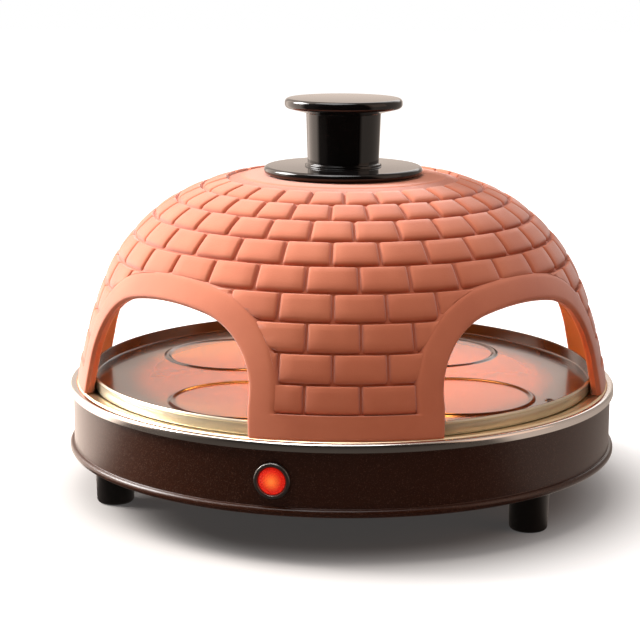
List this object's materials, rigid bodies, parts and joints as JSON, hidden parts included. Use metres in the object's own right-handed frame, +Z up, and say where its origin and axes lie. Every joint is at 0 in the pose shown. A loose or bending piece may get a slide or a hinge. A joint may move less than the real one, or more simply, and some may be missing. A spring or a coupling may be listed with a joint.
{
  "type": "electric pizza maker",
  "caption": "Table-top electric pizza maker: round electric base with a clay brick-pattern dome that has arched mouths and lifts off by a black knob.",
  "frame": {"origin": "point under the dome's axis, on the surface that the feet stand on", "axes": "+Z up; -Y towards the viewer, through the middle of one dome leg; +X to the viewer's right"},
  "size_m": [0.3615, 0.3616, 0.2585],
  "materials": {
    "clay": "matt unglazed terracotta",
    "base_lacquer": "dark brown enamel with a fine speckle, semi-gloss",
    "polished_steel": "polished",
    "baking_enamel": "glossy brown-black non-stick enamel",
    "black_plastic": "gloss",
    "foot_rubber": "satin",
    "red_lens": "clear moulded facets",
    "lamp_glow": "clear",
    "dull_metal": "satin",
    "heater_metal": "oxidised",
    "plain_steel": "satin",
    "socket_ceramic": "satin",
    "contact_brass": "satin",
    "cream_plastic": "matt",
    "dark_plastic": "matt",
    "wire_sleeve": "woven sleeve",
    "wire_red": "satin",
    "heat_seal": "matt fibre"
  },
  "bodies": {
    "base": {"base_wall": "base_lacquer", "base_floor": "base_lacquer", "floor_rivets": "plain_steel", "steel_tray": "polished_steel", "tie_posts": "plain_steel", "post_screws": "plain_steel", "foot_left": "foot_rubber", "foot_right": "foot_rubber", "foot_rear": "foot_rubber", "foot_screws": "plain_steel", "lamp_bezel": "dull_metal", "lamp_lens": "red_lens", "lamp_bulb": "lamp_glow", "lamp_holder": "cream_plastic", "lamp_clip": "dark_plastic", "lamp_leads": "wire_red", "cord_gland": "dark_plastic", "gland_nut": "dark_plastic", "cord_clamp": "cream_plastic", "earth_screw": "contact_brass", "terminal_block": "cream_plastic", "heater_leads": "wire_sleeve", "heat_shield": "plain_steel", "thermal_cutout": "plain_steel", "lower_heater": "heater_metal", "heater_clips": "plain_steel", "heater_bushes": "socket_ceramic", "socket_body": "socket_ceramic", "socket_sleeves": "contact_brass"},
    "plate": {"baking_plate": "baking_enamel"},
    "element": {"plug_body": "socket_ceramic", "plug_pins": "contact_brass", "column_tube": "plain_steel", "column_collar": "plain_steel", "heater_hub": "socket_ceramic", "upper_heater": "heater_metal", "heater_arms": "plain_steel", "reflector": "polished_steel", "reflector_nut": "plain_steel"},
    "dome": {"clay_dome": "clay", "knob_gasket": "heat_seal", "knob_body": "black_plastic", "knob_cap": "black_plastic", "knob_screw": "plain_steel", "knob_washer": "plain_steel", "knob_nut": "plain_steel"}
  },
  "joints": [
    {"name": "plate_lift", "type": "slide", "parent": "base", "child": "plate", "axis": [0, 0, 1], "range_m": [0, 0.06]},
    {"name": "element_lift", "type": "slide", "parent": "plate", "child": "element", "axis": [0, 0, 1], "range_m": [0, 0.14]},
    {"name": "dome_lift", "type": "slide", "parent": "element", "child": "dome", "axis": [0, 0, 1], "range_m": [0, 0.15]}
  ]
}
